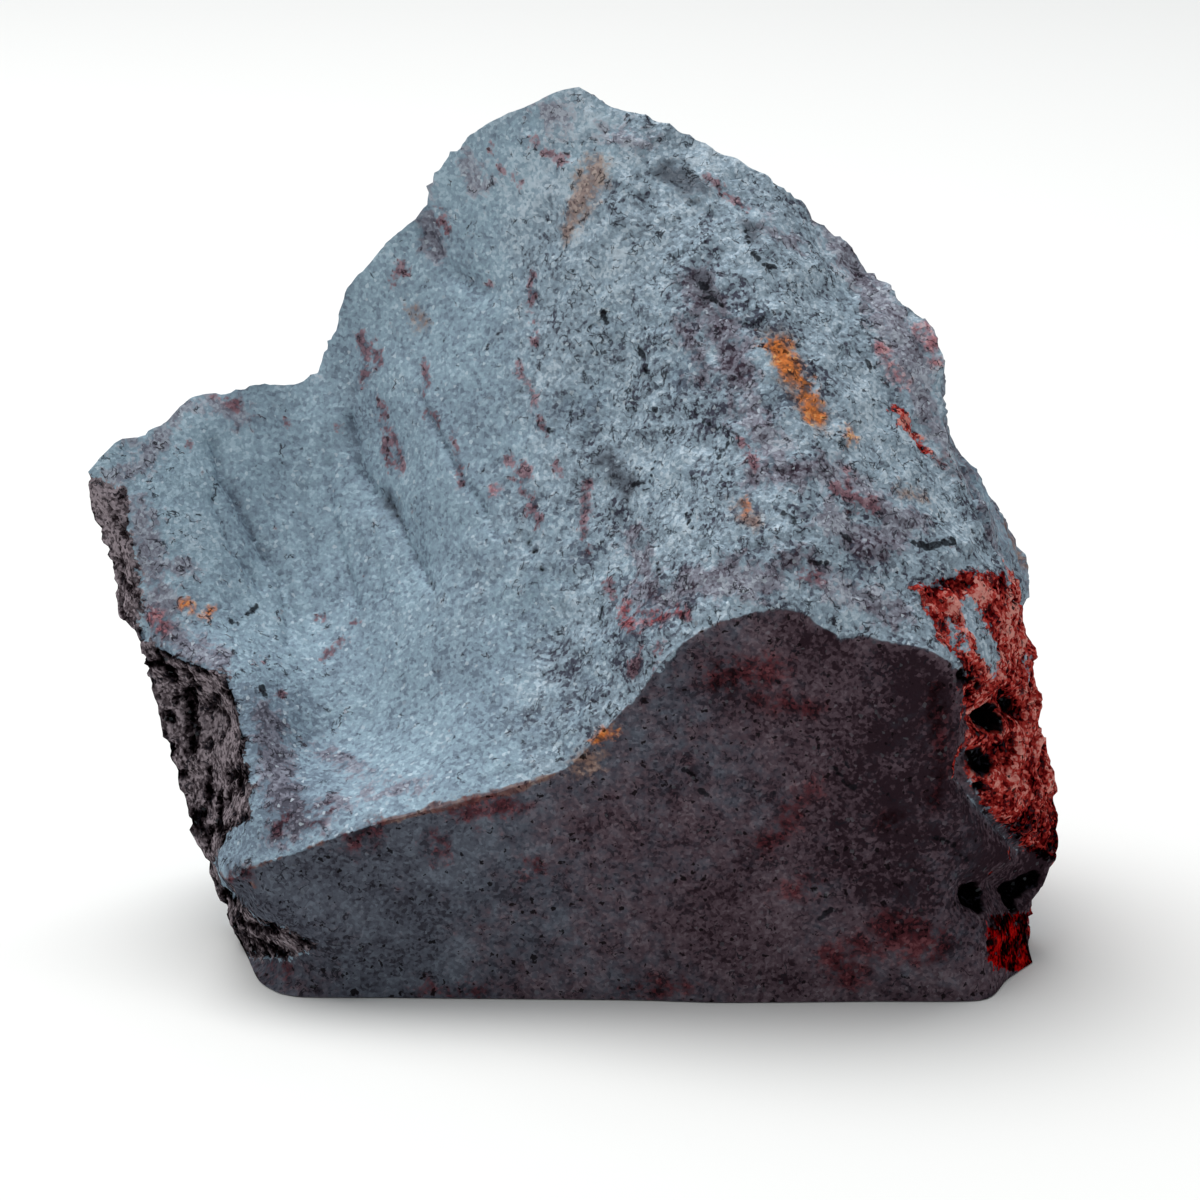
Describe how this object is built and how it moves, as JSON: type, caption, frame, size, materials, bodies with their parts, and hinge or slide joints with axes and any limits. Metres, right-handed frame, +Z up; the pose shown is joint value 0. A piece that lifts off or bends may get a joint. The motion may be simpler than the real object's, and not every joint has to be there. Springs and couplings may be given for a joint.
{
  "type": "hematite specimen",
  "caption": "Hand-sized broken lump of massive hematite with a scooped grey upper face, a dark flat front and a flat underside to rest on.",
  "frame": {"origin": "centre of the stone's bounding box at the height of its flat underside", "axes": "+Z up from the flat underside; +X across the stone towards the rough red end; the dark flat front faces -Y"},
  "size_m": [0.0796, 0.0528, 0.0702],
  "materials": {
    "hematite": "blue-grey fine-grained fracture, part dull purple-brown, with red ochre and orange limonite stains"
  },
  "bodies": {
    "root": {"hematite": "hematite"}
  },
  "joints": []
}
